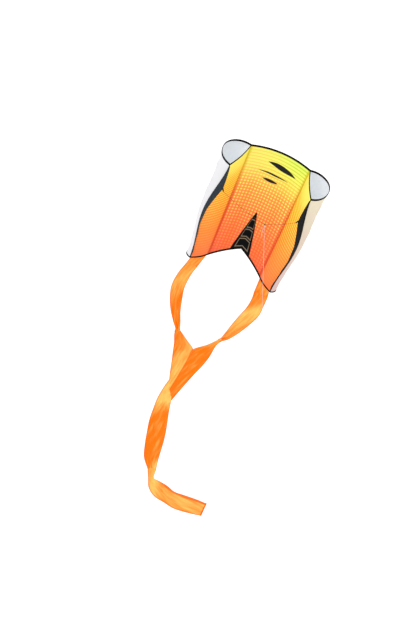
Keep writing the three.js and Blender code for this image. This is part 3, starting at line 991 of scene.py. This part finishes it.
class KITE_OT_centre(bpy.types.Operator):
    """Makes the centre panel, its edge tapes and the gusset above its notch"""

    bl_idname = "kite.centre"
    bl_label = "Centre panel"

    def execute(self, context):
        a, b = grid(96, 160)
        t = lerp(-1, 1, a)
        down = b * trailing_edge(t)
        points = centre_surface(t, down)
        crease = sum(1.6 * hump(t, place, width) for place, width in PANEL_CREASES)
        crease *= smooth(b, 0, 0.5) * (1 - smooth(b, 0.8, 0.97))
        points[..., 1] += crease + panel_ripple(t, down) * np.sin(np.pi * b) * (1 - t * t)
        uv = np.stack([points[..., 0] * MM + 0.1, down * MM], -1)
        panel = thicken(lay_mesh("centre_panel_cloth", points, uv), sizes().cloth)
        tape = once("black edge tape", tape_cloth, look())
        across = np.linspace(-1, 1, 161)
        down_way = np.tile((0.0, 0.0, -1.0), (161, 1))
        edge = centre_surface(across, 0 * across)
        facing = unit(np.cross(np.gradient(edge, axis=0), down_way))
        top = edge_tape("leading_edge_tape", edge, down_way, facing)
        dress(top, tape, ["leading_edge_binding"], "sail")
        for name, side in SIDES:
            part = np.linspace(0, side, 101)
            edge = centre_surface(part, trailing_edge(part))
            facing = unit(np.cross(np.gradient(edge, axis=0), (0, 0, 1.0)))
            inward = unit(np.cross(facing, np.gradient(edge, axis=0))) * side
            inward *= np.sign(inward[:, 2:])
            made = edge_tape(name + "_trailing_edge_tape", edge, inward, facing)
            dress(made, tape, [name + "_trailing_edge_binding"], "sail")
        dress(panel, centre_cloth(look()), ["centre_panel"], "sail")
        surface_area(points)

        a, b = grid(40, 80)
        half = lerp(GUSSET_TIP_HALF_WIDTH, GUSSET_HALF_WIDTH, b)
        t = (2 * a - 1) * half / (SEAM_SPACING_FOOT / 2)
        down = lerp(GUSSET_TOP_DOWN, trailing_edge(t) - 4.0, b)
        points = centre_surface(t, down)
        points[..., 1] += panel_ripple(t, down) * np.sin(np.pi * down / SEAM_LENGTH) - 1.1
        gusset = thicken(lay_mesh("notch_gusset_cloth", points, np.stack([a, b], -1)), sizes().cloth)
        dress(gusset, gusset_cloth(look()), ["notch_gusset"], "sail")
        surface_area(points)
        return {"FINISHED"}


class KITE_OT_tubes(bpy.types.Operator):
    """Makes the two ram-air tubes, with the tapes round their mouths and feet"""

    bl_idname = "kite.tubes"
    bl_label = "Ram-air tubes"

    def execute(self, context):
        tape = once("black edge tape", tape_cloth, look())
        lining = lining_cloth(look())
        for name, side in SIDES:
            body = name + "_tube"
            a, b = grid(48, 160)
            down = b * SEAM_LENGTH
            _, chord, _, _ = tube_chord(side, down)
            points = tube_face(side, a, down)
            uv = np.stack([a * np.linalg.norm(chord, axis=-1) * MM, down * MM], -1)
            front = thicken(lay_mesh(name + "_face_cloth", points, uv), sizes().cloth)
            printed = side_cloth(look(), name)
            dress(front, printed, [name + "_tube_face"], body, lining, inside_first=side > 0)
            front_area = surface_area(points)

            a, b = grid(72, 160)
            down = b * SEAM_LENGTH
            points = tube_back(side, a, down)
            uv = np.stack([a * BACK_ARC * MM, down * MM], -1)
            rear = thicken(lay_mesh(name + "_back_cloth", points, uv), sizes().cloth)
            plain = back_cloth(look(), name)
            dress(rear, plain, [name + "_tube_back"], body, lining, inside_first=side < 0)

            tapes = {"face": [], "back": []}
            for which, surface, count in (("face", tube_face, 81), ("back", tube_back, 121)):
                for place, level, way in (("mouth", 0.0, -1.0), ("foot", SEAM_LENGTH, 1.0)):
                    f = np.linspace(0, 1, count)
                    edge = surface(side, f, np.full(count, level))
                    inward = np.tile((0.0, 0.0, way), (count, 1))
                    facing = unit(np.cross(np.gradient(edge, axis=0), inward))
                    made = edge_tape(f"{name}_{place}_{which}_tape", edge, inward, facing)
                    dress(made, tape, [f"{name}_{place}_{which}_binding"], body)
                    tapes[which].append(made)
            surface_area(points)
        return {"FINISHED"}


class KITE_OT_keels(bpy.types.Operator):
    """Makes the keels and their bridle tabs"""

    bl_idname = "kite.keels"
    bl_label = "Keels and tabs"

    def execute(self, context):
        tape = once("black edge tape", tape_cloth, look())
        for name, side in SIDES:
            a, b = grid(12, 160)
            points = keel_surface(side, a, b)
            uv = np.stack([a * KEEL_HEIGHT * MM, b * SEAM_LENGTH * MM], -1)
            keel = thicken(lay_mesh(name + "_keel_cloth", points, uv), sizes().cloth * 2)
            dress(keel, black_cloth(look(), name), [name + "_keel"], name + "_tube")
            level = np.linspace(2.0, SEAM_LENGTH - 2.0, 161)
            _, chord, facing, _ = tube_chord(side, level)
            out = unit(chord)
            thick = sizes().tape_thickness / MM
            root = outer_seam(side, level) + out * 0.6
            seam = tape_piece(name + "_outer_seam_tape", root, -out, facing, SEAM_TAPE_WIDTH, thick)
            dress(seam, tape, [], name + "_tube")
            surface_area(points)

            eye = TAB_LENGTH - TAB_WIDTH / 2
            turn = np.linspace(0, 2 * np.pi, 48, endpoint=False)
            share = np.linspace(0, 1, 7)[:, None]
            cos, sin = np.cos(turn), np.sin(turn)
            to_side = TAB_WIDTH / 2 / np.maximum(np.abs(sin), 1e-6)
            to_end = eye / np.maximum(np.abs(cos), 1e-6)
            square = np.minimum(to_side, to_end)
            rim = np.where(cos >= 0, TAB_WIDTH / 2, square)
            reach = lerp(TAB_HOLE / 2, rim, share)
            along, up = eye + reach * cos, reach * sin
            points = tab_root(side) + keel_way(side) * along[..., None] + stacked(0, 0, up)
            u, v = grid(48, 6)
            uv = np.stack([u * 0.025, v * 0.004], -1)
            tab = lay_mesh(name + "_bridle_tab_tape", points, uv, around=True)
            thicken(tab, TAB_THICKNESS * MM)
            soften = tab.modifiers.new("soft edges", "BEVEL")
            soften.width = 0.0003
            soften.segments = 2
            dress(tab, tape, [name + "_bridle_tab"], name + "_tube")
        return {"FINISHED"}


class KITE_OT_tail(bpy.types.Operator):
    """Makes the forked ribbon tail: tabs, arms, fork, streamer, tip and hem"""

    bl_idname = "kite.tail"
    bl_label = "Tail"

    def execute(self, context):
        def ribbon(name, stations, nodes, paleness, slant, deep=3.0, waves=2.2, rows=150, body=None,
                   fold=0.0):
            a, b = grid(36, rows)
            points = ribbon_points(stations, a, b, deep, waves)
            middle = np.asarray(stations, float)
            middle = (middle[:, :2] + middle[:, 2:]) / 2
            length = np.linalg.norm(np.diff(middle, axis=0), axis=1).sum() * MM
            made = thicken(lay_mesh(name, points, np.stack([a, b * length], -1)), sizes().ribbon)
            cloth = tail_cloth(look(), name.replace("_", " "), length, paleness, slant, fold)
            dress(made, cloth, nodes, body)
            area = surface_area(points)
            return made

        for name, side in SIDES:
            a, b = grid(36, 40)
            inner, chord, _, _ = tube_chord(side, SEAM_LENGTH)
            across = a if side > 0 else 1 - a
            top = inner + chord * lerp(0.06, 0.94, across)[..., None]
            stations = LEFT_ARM if side < 0 else RIGHT_ARM
            foot_x = lerp(stations[0][0], stations[0][2], a)
            up = lerp(-SEAM_LENGTH + 3.0, ARM_START - TAB_OVERLAP, b)
            points = stacked(lerp(top[..., 0], foot_x, b), lerp(top[..., 1], TAIL_DEPTH, b), up)
            drift = 2.2 * cloth_drift(a, 0) * np.sin(np.pi * a)
            points[..., 1] += smooth(b, 0.15, 1) * (3.0 * (1 - (2 * a - 1) ** 2) + drift - hem_curl(a))
            uv = np.stack([a, b * TAB_FLAT[1] * MM], -1)
            tab = thicken(lay_mesh(name + "_tail_tab_ribbon", points, uv), sizes().ribbon)
            meets = 0.35 if side < 0 else 0.15
            paleness = ((0.0, 0.05), (0.4, 0.3), (1.0, meets))
            cloth = tail_cloth(look(), name + " tail tab ribbon", TAB_FLAT[1] * MM, paleness, 0.0)
            dress(tab, cloth, [name + "_tail_tab"])
            surface_area(points)
            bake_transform(tab)

            paleness = ((0.0, 0.35), (0.18, 0.6), (0.36, 0.45), (0.46, 0.1), (0.8, 0.05), (1.0, 0.5))
            if side > 0:
                paleness = ((0.0, 0.15), (0.18, 0.3), (0.3, 0.95), (0.5, 0.6), (0.7, 0.3), (1.0, 0.2))
            arm = ribbon(name + "_tail_arm_ribbon", stations, [name + "_tail_arm"], paleness, slant=0.2)
            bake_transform(arm)

        paleness = ((0.0, 0.1), (0.28, 0.15), (0.48, 0.6), (1.0, 0.75))
        ribbon("tail_fork_left_ribbon", FORK_LEFT, ["tail_fork"], paleness,
               slant=0.5, deep=2.0, waves=1.0, body="tail_yoke")
        paleness = ((0.0, 0.9), (0.12, 0.5), (0.25, 0.05), (1.0, 0.0))
        ribbon("tail_fork_right_ribbon", FORK_RIGHT, [], paleness,
               slant=0.1, deep=2.0, waves=1.0, body="tail_yoke")
        streamer = ribbon("tail_streamer_ribbon", STREAMER, ["tail_streamer"],
                          ((0.0, 0.95), (0.2, 0.9), (0.36, 0.05), (0.89, 0.0), (0.98, 0.65), (1.0, 0.8)),
                          slant=0.25, deep=4.0, waves=1.2, rows=220)
        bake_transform(streamer)
        tip = ribbon("tail_tip_ribbon", TIP, ["tail_tip"],
                     ((0.0, 0.6), (0.25, 0.95), (0.45, 0.4), (0.7, 0.65), (1.0, 0.55)),
                     slant=0.3, deep=4.0, waves=1.6, rows=180, fold=0.9)
        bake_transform(tip)

        count = 60
        a = np.linspace(0, 1, count)
        edge = ribbon_points(TIP, a, np.ones(count), 4.0, 1.6)
        inward = np.tile((-1.0, 0.0, 0.0), (count, 1))
        facing = unit(np.cross(np.gradient(edge, axis=0), inward))
        hem = tape_piece("tail_end_hem_ribbon", edge, inward, facing, 5.0, 1.3)
        deep = once("tail ribbon, hem", hem_cloth, look())
        dress(hem, deep, ["tail_end_hem"], "tail_end")
        return {"FINISHED"}


OPERATORS = (KITE_OT_stage, KITE_OT_lines, KITE_OT_centre, KITE_OT_tubes, KITE_OT_keels, KITE_OT_tail)


class KITE_PT_panel(bpy.types.Panel):
    """Lists the kite's pieces and settings"""

    bl_idname = "KITE_PT_panel"
    bl_label = "Pocket Sled Kite"
    bl_space_type = "VIEW_3D"
    bl_region_type = "UI"
    bl_category = "Kite"

    def draw(self, context):
        for operator in OPERATORS:
            self.layout.operator(operator.bl_idname)
        for group in (context.scene.kite_look, context.scene.kite_sizes):
            for name in group.__annotations__:
                self.layout.prop(group, name)


CLASSES = (KiteLook, KiteSizes, *OPERATORS, KITE_PT_panel)


def register():
    for each in CLASSES:
        bpy.utils.register_class(each)
    bpy.types.Scene.kite_look = bpy.props.PointerProperty(type=KiteLook)
    bpy.types.Scene.kite_sizes = bpy.props.PointerProperty(type=KiteSizes)


def unregister():
    del bpy.types.Scene.kite_look
    del bpy.types.Scene.kite_sizes
    for each in reversed(CLASSES):
        bpy.utils.unregister_class(each)


def main():
    """Makes every piece in order."""
    register()
    for operator in OPERATORS:
        group, name = operator.bl_idname.split(".")
        getattr(getattr(bpy.ops, group), name)()


if __name__ == "__main__":
    main()
